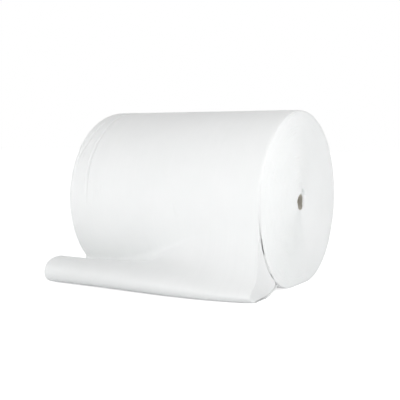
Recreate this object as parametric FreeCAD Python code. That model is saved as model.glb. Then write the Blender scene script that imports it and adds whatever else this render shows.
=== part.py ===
import FreeCAD, Part
import math
import os

from FreeCAD import Vector

# A big roll of polyethylene foam wrap, lying on its side with its loose end in front of it.
# Millimetres. X runs along the core, the loose end points to -Y, Z is up, and the origin
# lies on the floor below the middle of the core.

web_width = 1200.0        # the foam's width, and so the length of the roll
web_thickness = 5.0
roll_radius = 494.0       # the round part of the roll's section
settling = 45.0           # the roll's own weight holds its axis this much below its radius
flat_spot = 174.0         # width of the patch that bears on the floor

core_bore = 76.0          # takes a three-inch shaft
core_wall = 4.0
core_recess = 5.0         # the tube's ends lie this far inside the foam's end faces

# The loose end comes down the front of the roll, peels off it and turns forward in a bend. It
# goes over the crest of its loop, turns under at the nose and comes back along the floor. Its
# free edge lies under the roll and curls up towards it. At the far end (-X) the web peels off
# lower and rises to the crest, and at the near end (+X) it slopes down from the roll all the way.
# The loop turns through the same angles at both ends, as a bent sheet with no stretch does.
shoulder_angle = 30.0     # the loop's shallow arcs turn this far on each side of the nose's arc
curl_angle = 28.0         # the free edge slopes up this steeply
edge_rise = 36.0          # and is this far off the floor
edge_gap = 9.0            # or lower, to stay this far below the roll
root_depth = 3.0          # the bend starts this far below the roll's surface

far_loop = {
    "peel_angle": 46.0,   # the roll's surface faces this far from straight down at the root
    "bend_radius": 20.0,
    "height": 143.0,
    "reach": 218.0,       # from the front of the roll to the nose
    "crest_back": 105.0,  # from the nose to the crest
    "edge_back": 85.0,    # from the front of the roll to the free edge, which is under it
}
near_loop = {
    "peel_angle": 62.0,
    "bend_radius": 45.0,
    "height": 157.0,
    "reach": 240.0,
    "crest_back": 184.0,
    "edge_back": 220.0,
}
strips = 4                # each bend of the loose end is this many faces, side by side

axis_height = roll_radius - settling
half_flat = flat_spot / 2
# The belly arc is tangent to the floor at the flat's edge, and to the round part.
belly_radius = (roll_radius**2 - half_flat**2 - axis_height**2) / (2 * settling)
belly_angle = math.degrees(math.atan2(half_flat, axis_height - belly_radius))
tube_radius = core_bore / 2 + core_wall


def at(y, z):
    """A point of a section, which lies in the plane X = 0."""
    return Vector(0, y, z)


def around(centre, radius, angle):
    """A point on a circle, by its angle in degrees from straight down towards the front."""
    turn = math.radians(angle)
    return centre + at(-radius * math.sin(turn), -radius * math.cos(turn))


def line(start, end):
    return Part.LineSegment(start, end).toShape()


def arc(centre, radius, start, end):
    """An arc between two angles that are read as in around()."""
    return Part.Arc(*[around(centre, radius, angle) for angle in (start, (start + end) / 2, end)])


def bezier(*poles):
    curve = Part.BezierCurve()
    curve.setPoles(list(poles))
    return curve


def in_strips(curve):
    """A curve as several edges, end to end. Narrow faces between them need few facets."""
    first = curve.FirstParameter
    step = (curve.LastParameter - first) / strips
    return [curve.toShape(first + step * i, first + step * (i + 1)) for i in range(strips)]


def roll_section():
    """Flat on the floor, round above, and a belly arc between them on each side."""
    heel = at(-half_flat, 0)
    toe = at(half_flat, 0)
    return Part.Wire([
        line(heel, toe),
        arc(at(half_flat, belly_radius), belly_radius, 0, -belly_angle).toShape(),
        arc(at(0, axis_height), roll_radius, -belly_angle, belly_angle - 360).toShape(),
        arc(at(-half_flat, belly_radius), belly_radius, belly_angle, 0).toShape(),
    ])


def off_roll_surface(angle, distance):
    """The point this far outside the roll's front, where the surface faces this angle."""
    if angle < belly_angle:
        return around(at(-half_flat, belly_radius), belly_radius + distance, angle)
    return around(at(0, axis_height), roll_radius + distance, angle)


def under_roll(y):
    """How far the roll's underside is above the floor, at this Y."""
    if abs(y) < half_flat + belly_radius * math.sin(math.radians(belly_angle)):
        return belly_radius - math.sqrt(belly_radius**2 - (abs(y) - half_flat)**2)
    return axis_height - math.sqrt(roll_radius**2 - y**2)


def loop_radii(loop):
    """The radii of the loop's shallow arcs and of its nose, which share its height."""
    half_height = loop["height"] / 2
    sine = math.sin(math.radians(shoulder_angle))
    cosine = math.cos(math.radians(shoulder_angle))
    nose_share = (1 - sine) / cosine
    shallow = ((loop["crest_back"] - nose_share * half_height)
               / (sine - nose_share * (1 - cosine)))
    return shallow, (half_height - shallow * (1 - cosine)) / cosine


def curl_place(loop):
    """Where the free edge's curl leaves the floor, and its radius."""
    edge_y = loop["edge_back"] - roll_radius
    turn = math.radians(curl_angle)
    room = under_roll(edge_y) - edge_gap - web_thickness * math.cos(turn)
    radius = min(edge_rise, room) / (1 - math.cos(turn))
    return edge_y - radius * math.sin(turn), radius


def web_side(loop, inset):
    """The edges of one side of the loose end, from its root in the roll to its free edge.

    inset is 0 for the side that faces out of the roll, and the foam's thickness for the other.
    """
    bend_radius = loop["bend_radius"]
    bend_centre = off_roll_surface(loop["peel_angle"], bend_radius - root_depth)
    bend = arc(bend_centre, bend_radius + inset, loop["peel_angle"] - 180, 0)

    shallow, nose = loop_radii(loop)
    crest_y = loop["crest_back"] - loop["reach"] - roll_radius
    crest = at(crest_y, loop["height"] - inset)
    valley = around(bend_centre, bend_radius + inset, 0)
    halfway = (valley.y + crest.y) / 2
    bridge = bezier(valley, at(halfway, valley.z), at(halfway, crest.z), crest)

    upper_centre = at(crest_y, loop["height"] - shallow)
    upper = arc(upper_centre, shallow - inset, 180, 180 - shoulder_angle)
    nose_centre = around(upper_centre, shallow - nose, 180 - shoulder_angle)
    front = arc(nose_centre, nose - inset, 180 - shoulder_angle, shoulder_angle)
    lower = arc(at(crest_y, shallow), shallow - inset, shoulder_angle, 0)
    curl_y, curl_radius = curl_place(loop)
    on_floor = line(at(crest_y, inset), at(curl_y, inset))
    curl = arc(at(curl_y, curl_radius), curl_radius - inset, 0, -curl_angle)
    curves = [in_strips(curve) for curve in (bend, bridge, upper, front, lower, curl)]
    return sum(curves[:-1], []) + [on_floor] + curves[-1]


def loose_end_outline(loop, x):
    """The loose end's closed outline at one end of the roll, as its edges in order."""
    outer = web_side(loop, 0)
    inner = web_side(loop, web_thickness)
    free_edge = line(outer[-1].Vertexes[-1].Point, inner[-1].Vertexes[-1].Point)
    root = line(inner[0].Vertexes[0].Point, outer[0].Vertexes[0].Point)
    outline = outer + [free_edge] + inner[::-1] + [root]
    for edge in outline:
        edge.translate(Vector(x, 0, 0))
    return outline


def stretched_between(far, near):
    """A solid whose sides run straight from each edge of one outline to its twin."""
    sides = [Part.makeRuledSurface(a, b) for a, b in zip(far, near)]
    ends = [Part.Face(Part.Wire(outline)) for outline in (far, near)]
    skin = Part.Shell(sides + ends)
    skin.sewShape()
    return Part.Solid(skin)


def along_roll(shape, length):
    """A section drawn out along X, with its middle at X = 0."""
    drawn = shape.extrude(Vector(length, 0, 0))
    drawn.translate(Vector(-length / 2, 0, 0))
    return drawn


def disc(radius):
    circle = Part.Circle(at(0, axis_height), Vector(1, 0, 0), radius)
    return Part.Face(Part.Wire(circle.toShape()))


def foam_web():
    """The whole web: its wound turns as one body, with the loose end that comes off them."""
    turns = along_roll(Part.Face(roll_section()), web_width)
    far = loose_end_outline(far_loop, -web_width / 2)
    near = loose_end_outline(near_loop, web_width / 2)
    core_hole = along_roll(disc(tube_radius), web_width)
    return turns.fuse(stretched_between(far, near)).cut(core_hole)


def core_tube():
    length = web_width - 2 * core_recess
    return along_roll(disc(tube_radius).cut(disc(core_bore / 2)), length)


def save(name, shape):
    solid = shape.Solids[0]
    if not solid.isValid() or len(shape.Solids) != 1:
        raise ValueError(name + " is not one valid solid")
    solid.exportStep("parts/" + name + ".step")
    print(name, round(solid.Volume / 1e9, 5), "m3")


os.makedirs("parts", exist_ok=True)
save("foam_web", foam_web())
save("core_tube", core_tube())
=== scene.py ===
import math

import bmesh
import bpy
import numpy as np
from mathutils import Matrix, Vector


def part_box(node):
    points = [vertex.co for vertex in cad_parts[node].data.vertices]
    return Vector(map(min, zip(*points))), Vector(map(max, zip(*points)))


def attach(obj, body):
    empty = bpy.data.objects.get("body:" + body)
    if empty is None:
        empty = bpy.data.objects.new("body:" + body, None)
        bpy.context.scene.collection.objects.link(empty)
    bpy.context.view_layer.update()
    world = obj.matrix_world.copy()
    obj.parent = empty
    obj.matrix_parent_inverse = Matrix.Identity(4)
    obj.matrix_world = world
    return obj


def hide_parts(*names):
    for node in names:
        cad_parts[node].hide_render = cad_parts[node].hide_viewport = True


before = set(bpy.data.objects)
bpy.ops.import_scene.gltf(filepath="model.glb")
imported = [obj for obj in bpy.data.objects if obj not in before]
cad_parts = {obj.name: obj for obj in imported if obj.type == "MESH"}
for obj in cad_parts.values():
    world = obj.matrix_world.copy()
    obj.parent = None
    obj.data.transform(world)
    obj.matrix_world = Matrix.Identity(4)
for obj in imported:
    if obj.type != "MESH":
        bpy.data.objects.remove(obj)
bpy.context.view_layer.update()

# A big roll of white polyethylene foam wrap. woundFoam is every turn but the last, lastTurn is the
# outermost turn with the loose end that comes off it, and the paper tube is the frame's own.
# Metres and degrees. X runs along the roll, its loose end lies towards -Y, and the floor is at Z = 0.
# The end at +X is called the near one, and the end at -X the far one.

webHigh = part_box("foam_web")[1]
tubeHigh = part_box("core_tube")[1]

halfWidth = webHigh.x
rollRadius = webHigh.y
tubeRadius = tubeHigh.y
axisHeight = tubeHigh.z - tubeRadius

roll = {
    "webThickness": 0.005,
    "flatSpot": 0.174,       # width of the patch that bears on the floor
    "tuck": 0.04,            # turns of the last turn that lie hidden under the loose end's root
    "climb": 0.06,           # part of a turn in which the outer turns step onto the turn below
    "climbFrom": 0.8,        # share of the way out where the turns start to do so
    "skinGap": 0.0003,       # the turns below lie this far under the last one
    "hollow": 0.004,         # and this much further, away from its edges
    "hollowStart": 0.02,     # share of the half width over which they reach that
    "rimWidth": 0.02,        # near each end the outer turns curl in over this width
    "rimDrop": 0.004,
    "rimPower": 2.4,         # higher curls later and more sharply
    "dome": 0.001,           # how far the outer turns stand back from the middle of the end faces
    "rimSetBack": 0.0015,    # and the outermost turns more
    "setBackShare": 1 / 9,   # share of the way out that these take up
    "wander": 0.0009,        # how far single turns stand out of the end face or back in it
    "groove": 0.0015,        # depth of the gap between one turn's edge and the next
}

halfFlat = roll["flatSpot"] / 2
bellyRadius = (rollRadius**2 - halfFlat**2 - axisHeight**2) / (2 * (rollRadius - axisHeight))
bellyAngle = math.degrees(math.atan2(halfFlat, axisHeight - bellyRadius))
layers = round((rollRadius - tubeRadius) / roll["webThickness"])
lastWhole = layers - 1       # turns from the start of the web to where its loose end peels off
rimEdge = halfWidth - roll["dome"] - roll["rimSetBack"]

# Most of the loose end's sizes change along the roll, and are given as (x, size). At the far end it
# is a loop. Towards the near end its top falls from the roll like a skirt, and its near edge is
# folded in and lies flat on the lower part, which runs back along the floor under the roll.
looseEnd = {
    # how far round the roll from straight down it comes off, and how far it then runs straight on
    "rootAngle": [(-0.6, 46), (-0.3, 51), (0.1, 71), (0.34, 83), (0.593, 88), (0.5965, 40)],
    "rootPull": [(-0.6, 0.017), (-0.3, 0.024), (0.1, 0.06), (0.593, 0.08), (0.5965, 0.017)],
    "sections": [
        # at each x, the y and z of the points that draw its line from the bend to the free edge
        (-0.6, [(-0.379, 0.070), (-0.498, 0.112), (-0.554, 0.147), (-0.659, 0.140), (-0.707, 0.106),
                (-0.715, 0.052), (-0.677, 0.008), (-0.592, -0.004), (-0.496, 0.004), (-0.406, 0.042)]),
        (-0.2, [(-0.413, 0.086), (-0.524, 0.138), (-0.590, 0.152), (-0.702, 0.129), (-0.731, 0.089),
                (-0.727, 0.042), (-0.653, 0.004), (-0.555, -0.003), (-0.455, 0.003), (-0.360, 0.042)]),
        (0.1, [(-0.474, 0.215), (-0.510, 0.170), (-0.570, 0.145), (-0.645, 0.128), (-0.705, 0.100),
               (-0.720, 0.048), (-0.650, 0.000), (-0.540, -0.003), (-0.435, 0.005), (-0.335, 0.042)]),
        (0.3, [(-0.484, 0.250), (-0.515, 0.185), (-0.560, 0.140), (-0.615, 0.110), (-0.665, 0.085),
               (-0.690, 0.045), (-0.635, 0.000), (-0.535, -0.003), (-0.420, 0.005), (-0.305, 0.042)]),
        (0.48, [(-0.492, 0.280), (-0.505, 0.205), (-0.525, 0.145), (-0.560, 0.100), (-0.605, 0.072),
                (-0.642, 0.038), (-0.595, 0.000), (-0.510, -0.003), (-0.410, 0.005), (-0.290, 0.042)]),
        (0.593, [(-0.490, 0.290), (-0.495, 0.210), (-0.500, 0.145), (-0.515, 0.095), (-0.555, 0.066),
                 (-0.590, 0.034), (-0.550, 0.000), (-0.480, -0.004), (-0.400, 0.002), (-0.275, 0.043)]),
        (0.5965, [(-0.303, 0.062), (-0.314, 0.045), (-0.347, 0.029), (-0.400, 0.015), (-0.460, 0.0105),
                  (-0.535, 0.011), (-0.545, 0.001), (-0.480, -0.004), (-0.390, -0.002), (-0.274, 0.044)]),
    ],
    "rowsPerSpan": 8,        # rows of the mesh between two of those points
    "foldStart": 0.593,      # its near edge is folded in from here
    "foldTurns": 0.2,        # part of the last turn whose rows follow that edge's root
    "edgeSlack": 0.0025,     # its edges stop this far inside the roll's width
    "edgeBlend": 1 / 2.6,    # share of its length over which they get there
    "rootBlend": 0.25,       # share over which it leaves the last turn's own line
    "softBlend": 0.2,        # share over which its soft unevenness sets in
    "unevenness": 0.0022,
    "evenEdge": 0.1,         # the unevenness fades over this width at the near end
    "length": 0.82,          # from root to free edge, the mean over the width
}


def smooth(value):
    # 0 below 0, 1 above 1, and a smooth rise between
    value = np.clip(value, 0, 1)
    return value * value * (3 - 2 * value)


def unit(vectors):
    return vectors / np.linalg.norm(vectors, axis=-1, keepdims=True)


def alongWidth(places, sizes, x):
    # the size at x, on a smooth line through the sizes at their places that never overshoots
    places, sizes = np.array(places), np.array(sizes)
    steps = np.diff(places)
    rises = np.diff(sizes) / steps
    both = np.maximum(rises[:-1] * rises[1:], 0)
    between = 2 * both / np.where(both > 0, rises[:-1] + rises[1:], 1)
    slopes = np.concatenate([rises[:1], between, rises[-1:]])
    k = np.clip(np.searchsorted(places, x) - 1, 0, len(steps) - 1)
    t = np.clip((x - places[k]) / steps[k], 0, 1)
    value = sizes[k] + (sizes[k + 1] - sizes[k]) * t * t * (3 - 2 * t)
    return value + steps[k] * t * (1 - t) * (slopes[k] * (1 - t) - slopes[k + 1] * t)


def waves(value, seed, count=5, longest=1.0):
    # a smooth uneven line, about -1 to 1, always the same for the same seed: each wave is shorter
    # and lower than the one before
    random = np.random.default_rng(seed)
    total = 0 * value
    for k in range(count):
        phase = random.uniform(0, 2 * math.pi)
        total = total + np.sin(2 * math.pi * value / longest * 1.7**k + phase) / 1.3**k
    return total / count * 1.6


def angleAt(y, z):
    # from straight down, seen from the roll's axis; it grows towards the front
    return np.degrees(np.arctan2(-y, axisHeight - z))


def turnedFrom(angle, other):
    # how far apart two angles are, 0 to 180
    return np.abs((angle - other + 180) % 360 - 180)


def outlineRadius(angle):
    # from the axis to the roll's outline: round, with a flatter belly down to the flat spot
    turned = np.radians(turnedFrom(angle, 0))
    side, down = np.sin(turned), np.cos(turned)
    centreUp = axisHeight - bellyRadius
    along = halfFlat * side + centreUp * down
    off = halfFlat**2 + centreUp**2 - along**2
    belly = along + np.sqrt(np.maximum(bellyRadius**2 - off, 0))
    radius = np.where(turned < math.radians(bellyAngle), belly, rollRadius)
    onFlat = side * axisHeight < halfFlat * down
    return np.where(onFlat, axisHeight / np.maximum(down, 0.1), radius)    # 0.1 avoids a zero


def peelPoint(x):
    # where the loose end leaves the roll: y, z, and how far from straight down the roll faces there
    facing = alongWidth(*zip(*looseEnd["rootAngle"]), x)
    turned = np.radians(facing)
    onBelly = facing < bellyAngle
    centreY = np.where(onBelly, -halfFlat, 0)
    centreZ = np.where(onBelly, bellyRadius, axisHeight)
    radius = np.where(onBelly, bellyRadius, rollRadius)
    return centreY - radius * np.sin(turned), centreZ - radius * np.cos(turned), facing


def peelPlace(x):
    y, z = peelPoint(x)[:2]
    return angleAt(y, z)


def rimCurl(x):
    share = np.clip((np.abs(x) - rimEdge) / roll["rimWidth"] + 1, 0, 1)
    return roll["rimDrop"] * share ** roll["rimPower"]


def inStack(turn, level, x, relief=0.0):
    # A point of the wound web: turn counts along the web from its start on the tube, level is 0 on
    # the side that faces the tube and 1 on the other. The layers share out the room between the
    # tube and the roll's outline, so they are squeezed where the roll bears on the floor.
    # relief moves the point outwards.
    height = (turn + level) / layers
    phase = turn % 1
    stepped = smooth(phase / roll["climb"])
    stepped = stepped * smooth((height - roll["climbFrom"]) / (1 - roll["climbFrom"]))
    height = height + (1 - phase) * stepped / layers
    place = peelPlace(np.minimum(x, looseEnd["foldStart"]))
    folded = smooth(1 - (lastWhole - turn) / looseEnd["foldTurns"])
    place = place + (peelPlace(x) - place) * folded
    angle = place + 360 * (lastWhole - turn)
    radius = tubeRadius + height * (rollRadius - tubeRadius)
    radius = radius - height**2 * (rollRadius - outlineRadius(angle)) - height**4 * rimCurl(x) + relief
    turned = np.radians(angle)
    return -radius * np.sin(turned), axisHeight - radius * np.cos(turned)


def meshPiece(name, points, faces, material, sharpAngle):
    mesh = bpy.data.meshes.new(name)
    mesh.from_pydata(points.tolist(), [], faces)
    built = bmesh.new()
    built.from_mesh(mesh)
    bmesh.ops.recalc_face_normals(built, faces=built.faces)
    built.to_mesh(mesh)
    built.free()
    mesh.shade_smooth()
    mesh.set_sharp_from_angle(angle=math.radians(sharpAngle))
    mesh.materials.append(material)
    piece = bpy.data.objects.new(name, mesh)
    bpy.context.scene.collection.objects.link(piece)
    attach(piece, "root")
    triangles = sum(len(face) - 2 for face in faces)
    print(name, len(points), "points,", triangles, "triangles")
    return piece


def strips(first, second):
    # quads between two rows of point numbers
    return np.stack([first[:-1], first[1:], second[1:], second[:-1]], -1).tolist()


# shader building

class Wire:
    # an output socket, so that shader maths reads as plain expressions

    def __init__(self, maker, socket):
        self.maker = maker
        self.socket = socket

    def __add__(self, other):
        return self.maker.maths("ADD", self, other)

    def __radd__(self, other):
        return self.maker.maths("ADD", other, self)

    def __sub__(self, other):
        return self.maker.maths("SUBTRACT", self, other)

    def __rsub__(self, other):
        return self.maker.maths("SUBTRACT", other, self)

    def __mul__(self, other):
        return self.maker.maths("MULTIPLY", self, other)

    def __rmul__(self, other):
        return self.maker.maths("MULTIPLY", other, self)

    def __truediv__(self, other):
        return self.maker.maths("DIVIDE", self, other)

    def __pow__(self, other):
        return self.maker.maths("POWER", self, other)


class NodeMaker:
    # for the nodes of a material or of the world

    def __init__(self, owner):
        owner.use_nodes = True
        self.owner = owner
        self.tree = owner.node_tree

    def node(self, kind, settings=None, sockets=None, output=0):
        made = self.tree.nodes.new(kind)
        for name, value in (settings or {}).items():
            setattr(made, name, value)
        for name, value in (sockets or {}).items():
            self.join(value, made.inputs[name])
        return Wire(self, made.outputs[output])

    def join(self, value, socket):
        if isinstance(value, Wire):
            self.tree.links.new(value.socket, socket)
        else:
            socket.default_value = value

    def maths(self, operation, first, second=0.0):
        return self.node("ShaderNodeMath", {"operation": operation}, {0: first, 1: second})

    def mixColour(self, share, first, second):
        sockets = {0: share, 6: first, 7: second}
        return self.node("ShaderNodeMix", {"data_type": "RGBA"}, sockets, output=2)

    def stretched(self, scale):
        # object coordinates, scaled by x, y and z
        place = self.node("ShaderNodeTexCoord", output="Object")
        return self.node("ShaderNodeVectorMath", {"operation": "MULTIPLY"}, {0: place, 1: scale})

    def objectPlace(self, axis):
        place = self.node("ShaderNodeTexCoord", output="Object")
        return self.node("ShaderNodeSeparateXYZ", {}, {0: place}, output=axis)

    def offAxis(self):
        # how far the surface is from the roll's axis
        y = self.objectPlace("Y")
        z = self.objectPlace("Z") - axisHeight
        return (y * y + z * z) ** 0.5

    def noise(self, detail, scale=(1, 1, 1), size=1.0, roughness=0.5):
        place = self.stretched(scale)
        sockets = {"Vector": place, "Scale": size, "Detail": detail, "Roughness": roughness}
        return self.node("ShaderNodeTexNoise", {}, sockets)

    def between(self, value, low, high, first=0.0, last=1.0):
        # first where the value is low, last where it is high
        sockets = {"Value": value, 1: low, 2: high, 3: first, 4: last}
        return self.node("ShaderNodeMapRange", {}, sockets)

    def bump(self, height, distance, below=None):
        sockets = {"Height": height, "Distance": distance}
        if below:
            sockets["Normal"] = below
        return self.node("ShaderNodeBump", {}, sockets)

    def principled(self, **values):
        # the Principled shader with these values in its sockets, and _ for each space in their names
        shader = self.tree.nodes["Principled BSDF"]
        for name, value in values.items():
            self.join(value, shader.inputs[name.replace("_", " ")])
        return Wire(self, shader.outputs[0])

    def end(self, surface):
        self.join(surface, self.tree.nodes["Material Output"].inputs["Surface"])
        return self.owner


foam = {
    "colour": (0.905, 0.915, 0.912, 1),
    "dimColour": (0.87, 0.883, 0.88, 1),
    "cellSize": 0.0022,
    "cellRelief": 0.00012,
    "grainPerMetre": 600,       # fine grain within the cells
    "grainRelief": 0.6,         # beside the cells' own
    "streakPitch": 0.006,       # faint streaks run round the roll, along the web
    "streakPerMetre": 2.2,
    "streakRelief": 0.0004,
    "cloudPerMetre": 4,
    "roughness": 0.62,
    "roughnessSpread": 0.16,
    "shine": 0.35,
    "sheen": 0.15,
    "sheenRoughness": 0.4,
    "lightReach": 0.006,        # how far light travels inside the foam
    "letsThrough": 0.12,        # share of the light that passes a single sheet with nothing behind it
    "singleFrom": 0.004,        # the sheet counts as single from this far outside the roll
    "singleFull": 0.12,
}


def makeFoam():
    maker = NodeMaker(bpy.data.materials.new("whiteFoam"))
    sockets = {"Vector": maker.stretched((1, 1, 1)), "Scale": 1 / foam["cellSize"]}
    cells = maker.node("ShaderNodeTexVoronoi", {"feature": "F1"}, sockets)
    alongWeb = foam["streakPerMetre"]
    streaks = maker.noise(3, scale=(1 / foam["streakPitch"], alongWeb, alongWeb))
    cloud = maker.noise(3, scale=(foam["cloudPerMetre"],) * 3)
    grain = maker.noise(4, size=foam["grainPerMetre"], roughness=0.6)

    tone = cloud * 0.5 + streaks * 0.3 + grain * 0.2
    colour = maker.mixColour((tone - 0.4) * 3, foam["dimColour"], foam["colour"])
    surface = maker.bump(cells + grain * foam["grainRelief"], foam["cellRelief"])
    surface = maker.bump(streaks, foam["streakRelief"], below=surface)
    roughness = foam["roughness"] + (grain - 0.5) * foam["roughnessSpread"]
    solid = maker.principled(
        Base_Color=colour, Normal=surface, Roughness=roughness, Specular_IOR_Level=foam["shine"],
        Sheen_Weight=foam["sheen"], Sheen_Roughness=foam["sheenRoughness"],
        Subsurface_Weight=1.0, Subsurface_Radius=(1.0, 1.0, 1.0), Subsurface_Scale=foam["lightReach"])

    # away from the roll the foam is a single sheet, and some light comes through
    singleFrom, singleFull = rollRadius + foam["singleFrom"], rollRadius + foam["singleFull"]
    single = maker.between(maker.offAxis(), singleFrom, singleFull)
    through = maker.node("ShaderNodeBsdfTranslucent", {}, {"Color": colour, "Normal": surface})
    sockets = {0: single * foam["letsThrough"], 1: solid, 2: through}
    return maker.end(maker.node("ShaderNodeMixShader", {}, sockets))


whiteFoam = makeFoam()
print("foam material made")

# the wound turns

endFace = {
    "steps": 128,                    # points around one turn
    "across": 3,                     # points across the edge of one turn
    "sharpAngle": 35,
    "wanderTurns": 9.3,              # the turns' edges wander over this many turns,
    "fineTurns": 0.73,               # and over this many
    "fineShare": 0.7,                # by this much as far
    "dentAngle": -140.0,             # beside the near end of the tube the turns have sunk in
    "dentSpread": 30.0,
    "dentReach": (0.0515, 0.080),    # from here to here off the axis
    "dentDepth": 0.024,
    "leanAngle": -92.0,              # and the first turns lean over its mouth
    "leanSpread": 72.0,
    "lean": 0.026,
    "leanFrom": 0.0505,              # turns further out than this stand straight
    "sections": (0.995, 0.98, 0.95, 0.91, 0.83, 0.5),    # shares of the way out to the end faces
}


def dent(y, z):
    # how deep the turns have sunk in at a point; it fades towards the ends of its spread and reach
    low, high = endFace["dentReach"]
    across = np.clip((np.hypot(y, z - axisHeight) - low) / (high - low), 0, 1)
    turned = turnedFrom(angleAt(y, z), endFace["dentAngle"]) / endFace["dentSpread"]
    return endFace["dentDepth"] * smooth(1.5 - turned * 1.5) * smooth(4 - 4 * across) * smooth(across * 9)


def leanOver(y, z):
    # moves a point of the first turns towards the axis, less and less away from the lean's middle
    out = np.hypot(y, z - axisHeight)
    turned = turnedFrom(angleAt(y, z), endFace["leanAngle"]) / endFace["leanSpread"]
    lean = smooth((endFace["leanFrom"] - out) / (endFace["leanFrom"] - tubeRadius))
    share = 1 - endFace["lean"] * smooth(1.4 - turned * 1.4) * lean / out
    return y * share, axisHeight + (z - axisHeight) * share


def setBack(turn, level, side, y, z):
    # how far a point of an end face stands back from the roll's full width
    height = (turn + level) / layers
    seed = 3 if side > 0 else 4
    wander = waves(turn, seed, 6, endFace["wanderTurns"])
    wander = wander + endFace["fineShare"] * waves(turn, 5, 3, endFace["fineTurns"])
    outermost = np.clip(1 - (1 - height) / roll["setBackShare"], 0, 1)
    back = roll["dome"] * height**4 + roll["rimSetBack"] * outermost**2
    back = back + roll["wander"] * (1 + wander)
    if side > 0:
        back = back + dent(y, z)
    return back


def makeWoundFoam():
    steps, across = endFace["steps"], endFace["across"]
    count = round((lastWhole - 1 - roll["tuck"]) * steps)
    turnPlaces = np.arange(count + 1) / steps
    turn, level = np.meshgrid(turnPlaces, np.arange(across + 1) / across, indexing="ij")
    points = []
    faces = []

    def add(x, y, z):
        # adds points and gives back their numbers
        first = sum(len(p) for p in points)
        points.append(np.stack(np.broadcast_arrays(x, y, z), -1).reshape(-1, 3))
        return first + np.arange(len(points[-1])).reshape(np.shape(y))

    # the two end faces: spirals of edges with a groove between one turn and the next
    boreEdge = {}
    rimLoop = {}
    for side in (-1, 1):
        y, z = inStack(turn, level, side * rimEdge)
        back = setBack(turn, level, side, y, z) + roll["groove"] * (level % 1 == 0)
        x = side * (halfWidth - back)
        y, z = inStack(turn, level, x, -roll["skinGap"])
        if side > 0:
            y, z = leanOver(y, z)
        inner = add(x[:, :across], y[:, :across], z[:, :across])
        outer = add(x[-steps:, across], y[-steps:, across], z[-steps:, across])
        top = np.concatenate([inner[steps:, 0], outer])    # a turn's outer groove is the next one's inner
        face = np.concatenate([inner, top[:, None]], 1)
        for k in range(across):
            faces += strips(face[:, k], face[:, k + 1])
        boreEdge[side] = np.concatenate([inner[:steps + 1, 0], inner[0, :0:-1], inner[:1, 0]])
        rimLoop[side] = np.concatenate([inner[-1:, 0], outer, inner[-1, :0:-1], inner[-1:, 0]])

    # the bore and the outside join them, ring by ring
    startTurns = np.concatenate([turn[:steps + 1, 0], turn[0, across - 1:0:-1]])
    startLevels = np.concatenate([level[:steps + 1, 0], level[0, across - 1:0:-1]])
    endTurns = np.concatenate([turn[-1:, 0], turn[-steps:, across], turn[-1, across - 1:0:-1]])
    endLevels = np.concatenate([level[-1:, 0], level[-steps:, across], level[-1, across - 1:0:-1]])
    places = [-share for share in endFace["sections"]] + list(endFace["sections"][::-1])
    for edge, turns, levels, hollow in ((boreEdge, startTurns, startLevels, 0),
                                        (rimLoop, endTurns, endLevels, roll["hollow"])):
        before = edge[-1]
        for place in places:
            x = place * rimEdge
            drop = hollow * smooth((1 - abs(place)) / roll["hollowStart"])
            y, z = inStack(turns, levels, x, -roll["skinGap"] - drop)
            ring = add(x, y, z)
            ring = np.concatenate([ring, ring[:1]])
            faces += strips(before, ring)
            before = ring
        faces += strips(before, edge[1])
    return meshPiece("woundFoam", np.concatenate(points), faces, whiteFoam, endFace["sharpAngle"])


woundFoam = makeWoundFoam()
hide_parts("foam_web")
print("wound turns made:", layers, "layers")

# the last turn and the loose end

# grooves that run round the last turn. line is (angle, x) along each one, and it fades in between
# the first two angles of fade and out between the last two
creases = [
    # three deep ones near the far end
    {"line": [(175, -0.497), (152, -0.481), (117, -0.483), (100, -0.477), (70, -0.474)],
     "depth": 0.0060, "width": 0.0068, "fade": (182, 172, 112, 80)},
    {"line": [(145, -0.541), (130, -0.553), (121, -0.570), (105, -0.575)],
     "depth": 0.0052, "width": 0.0066, "fade": (158, 146, 124, 102)},
    {"line": [(141, -0.486), (131, -0.512), (122, -0.545), (112, -0.566)],
     "depth": 0.0030, "width": 0.0090, "fade": (146, 138, 124, 110)},
    # two faint streaks and a tick beside them
    {"line": [(106, -0.430), (86, -0.427)],
     "depth": 0.0012, "width": 0.0060, "fade": (108, 103, 92, 86)},
    {"line": [(110, -0.381), (88, -0.379)],
     "depth": 0.0010, "width": 0.0060, "fade": (112, 106, 94, 88)},
    {"line": [(140, -0.356), (128, -0.354)],
     "depth": 0.0014, "width": 0.0055, "fade": (141, 137, 132, 128)},
    # and a short nick in the middle
    {"line": [(92, 0.102), (82, 0.118)],
     "depth": 0.0020, "width": 0.0045, "fade": (92, 89, 85, 82)},
]

creaseShape = {
    "lips": 0.35,          # height of the swollen lips beside a groove, as a share of its depth
    "lipsAt": 1.9,         # how far from the groove's middle they are, in its widths
    "lipsTight": 1.4,
}

lastTurn = {
    "rowAngle": 2.4,       # between rows round the roll
    "sharpAngle": 40,
    "softWaves": 0.0007,   # how far its surface swells and sinks, besides the creases
    "edgeWaves": 0.0007,   # how far its side edges wander
    "edgeWaveRows": 40.0,  # over this many rows
    "edgeRound": 0.001,
    "pressedTo": 18,       # the relief starts this far from straight down, where the roll bears
    "pressedFade": 25,
    "hiddenFade": 20,      # and fades over this angle where the turn runs under the loose end
    "hiddenTurns": 0.02,   # part of a turn in which the hidden start sinks by skinGap
    # across the web, from -1 at the far edge to 1 at the near one: places and the gaps there
    "columns": [(-1.0, 0.0011), (-0.985, 0.0028), (-0.79, 0.0028), (-0.76, 0.0035), (-0.57, 0.0035),
                (-0.5, 0.02), (0.13, 0.02), (0.16, 0.003), (0.21, 0.003), (0.24, 0.02),
                (0.8, 0.02), (0.92, 0.004), (0.975, 0.0024), (0.985, 0.0005), (1.0, 0.0005)],
}


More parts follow.
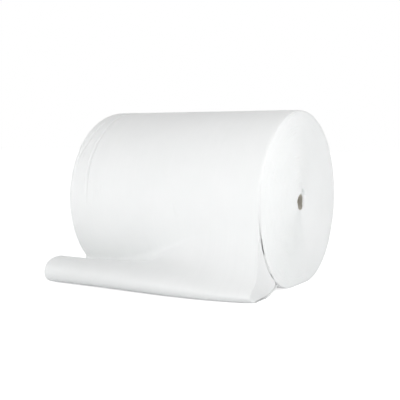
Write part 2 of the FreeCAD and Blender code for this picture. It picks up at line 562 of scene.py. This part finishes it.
def columnPlaces():
    # close together where the surface needs it
    places = [-1.0]
    stops = [stop[0] for stop in lastTurn["columns"]]
    gaps = [stop[1] for stop in lastTurn["columns"]]
    while places[-1] < 1:
        places.append(places[-1] + float(np.interp(places[-1], stops, gaps)) / halfWidth)
    places = np.array(places)
    return (places + 1) / (places[-1] + 1) * 2 - 1


def creaseRelief(x, angle):
    total = 0 * x
    for crease in creases:
        angles = [point[0] for point in crease["line"]][::-1]
        places = [point[1] for point in crease["line"]][::-1]
        across = (x - np.interp(angle, angles, places)) / crease["width"]
        top, full, thin, gone = crease["fade"]
        strength = smooth((top - angle) / (top - full)) * smooth((angle - gone) / (thin - gone))
        fromLips = np.abs(across) - creaseShape["lipsAt"]
        lips = creaseShape["lips"] * np.exp(-(fromLips**2) * creaseShape["lipsTight"])
        total = total - crease["depth"] * strength * (np.exp(-across**2) - lips)
    return total


def softRelief(x, around):
    soft = waves(x + 0.3 * around, 11, 4, 0.9) * waves(around - 0.2 * x, 12, 4, 0.8)
    return lastTurn["softWaves"] * soft


def looseCurve(x):
    # the outer side of the loose end from its root to its free edge: y and z, one row per point
    rootY, rootZ, facing = peelPoint(x)
    pull = alongWidth(*zip(*looseEnd["rootPull"]), x)
    places = [section[0] for section in looseEnd["sections"]]
    lines = np.array([section[1] for section in looseEnd["sections"]])
    guides = np.array([[alongWidth(places, lines[:, k, axis], x) for k in range(lines.shape[1])]
                       for axis in range(2)])

    # the nose, the crest and the part on the floor each wander a little along the roll
    uneven = looseEnd["unevenness"] * smooth((rimEdge - x) / looseEnd["evenEdge"])
    guides[0, 2:6] -= uneven * (waves(x, 22, 4, 0.9) - 1)
    guides[1, 1:5] += 0.5 * uneven * (waves(x, 21, 4, 1.1) - 1)
    guides[0, 7:9] += 2 * uneven * waves(x, 23, 5, 0.8)

    # the line starts along the roll's surface and is a cubic spline after that, with one more guide
    # before its root and one past its free edge
    root = np.array([rootY, rootZ])[:, None]
    straightOn = np.array([np.cos(np.radians(facing)), -np.sin(np.radians(facing))])[:, None]
    leaving = root + pull * straightOn
    guides = np.concatenate([2 * root - leaving, root, leaving, guides], 1)
    guides = np.concatenate([guides, 2 * guides[:, -1:] - guides[:, -2:-1]], 1)
    spans = guides.shape[1] - 3
    reach = (np.arange(spans * looseEnd["rowsPerSpan"]) + 1) / looseEnd["rowsPerSpan"]
    span = np.minimum(reach.astype(int), spans - 1)
    t = (reach - span)[:, None, None]
    shares = ((1 - t)**3, 3 * t**3 - 6 * t**2 + 4, 1 + 3 * t + 3 * t**2 - 3 * t**3, t**3)
    y, z = sum(share * guides[:, span + k] / 6 for k, share in enumerate(shares))[:, :, 0]
    return y, np.maximum(z, 0)


def makeLastTurn():
    place = columnPlaces()
    first = lastWhole - 1 - roll["tuck"]
    count = round((lastWhole - first) * 360 / lastTurn["rowAngle"])
    turn = np.linspace(first, lastWhole, count + 1)[:, None]
    looseSpans = len(looseEnd["sections"][0][1]) + 1      # one for each point and one from the root
    looseRows = looseSpans * looseEnd["rowsPerSpan"]

    # how far out the side edges are in each row
    along = np.concatenate([np.zeros(count + 1), (np.arange(looseRows) + 1) / looseRows])[:, None]
    looseEdge = halfWidth - looseEnd["edgeSlack"]
    edge = rimEdge + (looseEdge - rimEdge) * smooth(along / looseEnd["edgeBlend"])
    rowWaves = np.arange(len(edge))[:, None] / lastTurn["edgeWaveRows"]
    edge = edge + lastTurn["edgeWaves"] * waves(rowWaves, 31, 4, 1.0)
    x = edge * place

    # the rows on the roll, with relief only where the turn shows and bears on nothing
    wound = x[:count + 1]
    angle = peelPlace(wound) + 360 * (lastWhole - turn)
    free = smooth((turnedFrom(angle, 0) - lastTurn["pressedTo"]) / lastTurn["pressedFade"])
    covered = smooth((angle - 360) / lastTurn["hiddenFade"])
    relief = (creaseRelief(wound, angle) + softRelief(wound, angle / 60)) * free * (1 - covered)
    relief = relief * smooth((rimEdge - np.abs(wound)) / roll["rimWidth"])
    relief = relief - roll["skinGap"] * smooth((lastWhole - 1 - turn) / lastTurn["hiddenTurns"])
    outer = np.stack([wound, *inStack(turn, 1, wound, relief)], -1)
    inner = np.stack([wound, *inStack(turn, 0, wound, relief)], -1)

    # the rows of the loose end, which take over from the last of those
    rootX = x[count:count + 1]
    loose = np.stack(looseCurve(rootX), -1)
    step = np.stack(inStack(lastWhole, 1, rootX), -1) - np.stack(peelPoint(rootX)[:2], -1)
    loose = loose + step * (1 - smooth(along[count + 1:, :, None] / looseEnd["rootBlend"]))
    side = np.concatenate([outer, np.concatenate([x[count + 1:, :, None], loose], -1)])
    ahead = unit(np.gradient(side, axis=0))
    across = unit(np.gradient(side, axis=1))
    outward = unit(np.cross(ahead, across))
    under = side - roll["webThickness"] * outward
    under[:count + 1] = inner
    soft = softRelief(x[count + 1:], 4 + 3 * along[count + 1:])
    soft = soft * smooth(along[count + 1:] / looseEnd["softBlend"])
    side[count + 1:] += soft[:, :, None] * outward[count + 1:]
    under[count + 1:] += soft[:, :, None] * outward[count + 1:]

    # a last row and two more columns beyond the web round its cut edges
    tipAhead = ahead[-1:] * lastTurn["edgeRound"]
    tip = [side[-1:] * (1 - share) + under[-1:] * share + tipAhead for share in (0.4, 0.6)]
    side = np.concatenate([side, tip[0]])
    under = np.concatenate([under, tip[1]])
    across = np.concatenate([across, across[-1:]]) * lastTurn["edgeRound"]

    def cutEdge(column, share, sign):
        return (side * (1 - share) + under * share + sign * across)[:, column][:, None]

    rows = len(side)
    near = [cutEdge(-1, share, 1) for share in (0.25, 0.75)]
    far = [cutEdge(0, share, -1) for share in (0.75, 0.25)]
    points = np.concatenate([side, *near, under[:, ::-1], *far], 1)
    points[:, :, 0] = np.clip(points[:, :, 0], -halfWidth, halfWidth)
    points[:, :, 2] = np.maximum(points[:, :, 2], 0)    # nothing lies below the floor

    # each row is a closed ring round the web, and the first and the last one are filled in
    number = np.arange(points.shape[0] * points.shape[1]).reshape(points.shape[:2])
    number = np.concatenate([number, number[:, :1]], 1)
    faces = []
    for row in range(rows - 1):
        faces += strips(number[row], number[row + 1])
    columns = len(place)
    for row in (0, rows - 1):
        ring = number[row, :-1]
        top = np.concatenate([ring[-1:], ring[:columns + 1]])
        bottom = np.concatenate([ring[-2:-1], ring[2 * columns + 1:columns:-1]])
        faces += strips(top, bottom)
    return meshPiece("lastTurn", points.reshape(-1, 3), faces, whiteFoam, lastTurn["sharpAngle"])


lastTurnPiece = makeLastTurn()
print("last turn and loose end made")

# the paper tube

paper = {
    "colour": (0.68, 0.65, 0.59, 1),
    "darkColour": (0.55, 0.52, 0.46, 1),
    "fibresPerMetre": 180,
    "cloudPerMetre": 30,
    "seamPitch": 0.11,        # along the tube, from one turn of the spiral seam to the next
    "seamWidth": 0.012,       # share of that
    "plyPitch": 0.0006,       # through the wall, seen at the cut ends
    "relief": 0.0003,
    "seamRelief": 0.6,
    "roughness": 0.8,
    "roughnessSpread": 0.2,
    "shine": 0.3,
}


def makePaper():
    maker = NodeMaker(bpy.data.materials.new("tubeBoard"))
    fibres = maker.noise(6, size=paper["fibresPerMetre"], roughness=0.65)
    cloud = maker.noise(3, size=paper["cloudPerMetre"])
    x, y, z = [maker.objectPlace(axis) for axis in "XYZ"]
    around = maker.maths("ARCTAN2", y, z - axisHeight) / (2 * math.pi)
    turns = x / paper["seamPitch"] + around + 8    # kept above 0
    seam = maker.between(maker.maths("FRACT", turns), 0, paper["seamWidth"], 1, 0)
    ply = maker.maths("PINGPONG", maker.offAxis(), paper["plyPitch"]) / paper["plyPitch"]

    shade = fibres * 0.5 + cloud * 0.3 + ply * 0.25 + seam * 0.35
    colour = maker.mixColour((shade - 0.2) * 1.3, paper["colour"], paper["darkColour"])
    surface = maker.bump(fibres - seam * paper["seamRelief"], paper["relief"])
    roughness = paper["roughness"] + (fibres - 0.5) * paper["roughnessSpread"]
    return maker.end(maker.principled(
        Base_Color=colour, Normal=surface, Roughness=roughness, Specular_IOR_Level=paper["shine"]))


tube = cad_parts["core_tube"]
tube.data.materials.clear()
tube.data.materials.append(makePaper())
print("paper tube dressed")

# the studio

studio = {
    "floorSize": 60.0,
    "floorDrop": 0.0004,        # keeps the floor clear of the roll's flat spot
    "floorColour": (0.93, 0.935, 0.94, 1),
    "floorGlow": 0.75,          # seen by the camera only
    "worldLight": 0.445,
    "camera": (2.2124, -3.6930, 0.8031),
    "turn": 31.331,             # the camera looks this far left of +Y
    "down": 4.877,
    "lens": 67.15,
    "lamps": {
        "front": {"at": (2.0, -3.9, 0.5), "aim": (0.1, -0.3, 0.45), "size": (1.2, 0.8), "power": 34},
        "left": {"at": (-3.0, -4.0, 1.2), "aim": (0.1, -0.3, 0.45), "size": (2.0, 1.5), "power": 60},
        "right": {"at": (4.0, -1.5, 3.0), "aim": (0.1, -0.3, 0.45), "size": (2.0, 1.5), "power": 82},
    },
}


def makeWorld():
    # white to the eye and in gloss, and dimmer as light on the roll
    world = bpy.data.worlds.new("studioAir")
    bpy.context.scene.world = world
    maker = NodeMaker(world)
    seen = 0
    for ray in ("Is Camera Ray", "Is Glossy Ray", "Is Transmission Ray"):
        seen = maker.maths("MAXIMUM", maker.node("ShaderNodeLightPath", output=ray), seen)
    background = maker.tree.nodes["Background"].inputs
    maker.join((1, 1, 1, 1), background["Color"])
    maker.join(maker.between(seen, 0, 1, studio["worldLight"], 1), background["Strength"])


def makeFloor():
    maker = NodeMaker(bpy.data.materials.new("paleFloor"))
    plain = maker.principled(Base_Color=studio["floorColour"], Roughness=0.9, Specular_IOR_Level=0.0)
    seen = maker.node("ShaderNodeLightPath", output="Is Camera Ray")
    glow = maker.node("ShaderNodeEmission", {}, {"Strength": seen * studio["floorGlow"]})
    paleFloor = maker.end(maker.node("ShaderNodeAddShader", {}, {0: plain, 1: glow}))
    half = studio["floorSize"] / 2
    mesh = bpy.data.meshes.new("floor")
    corners = [(x * half, y * half, -studio["floorDrop"]) for x, y in ((-1, -1), (1, -1), (1, 1), (-1, 1))]
    mesh.from_pydata(corners, [], [(0, 1, 2, 3)])
    mesh.materials.append(paleFloor)
    floor = bpy.data.objects.new("floor", mesh)
    bpy.context.scene.collection.objects.link(floor)


def makeLamp(name, at, aim, size, power):
    light = bpy.data.lights.new(name, "AREA")
    light.shape = "RECTANGLE"
    light.size, light.size_y = size
    light.energy = power
    lamp = bpy.data.objects.new(name, light)
    lamp.location = at
    lamp.rotation_euler = (Vector(aim) - Vector(at)).to_track_quat("-Z", "Y").to_euler()
    bpy.context.scene.collection.objects.link(lamp)


def makeCamera():
    camera = bpy.data.objects.new("camera", bpy.data.cameras.new("camera"))
    camera.data.lens = studio["lens"]
    camera.data.clip_end = 200
    camera.location = studio["camera"]
    camera.rotation_euler = (math.radians(90 - studio["down"]), 0, math.radians(studio["turn"]))
    bpy.context.scene.collection.objects.link(camera)
    bpy.context.scene.camera = camera


makeWorld()
makeFloor()
for name, lamp in studio["lamps"].items():
    makeLamp(name, **lamp)
makeCamera()
bpy.context.scene.view_settings.view_transform = "Standard"
print("studio set up")
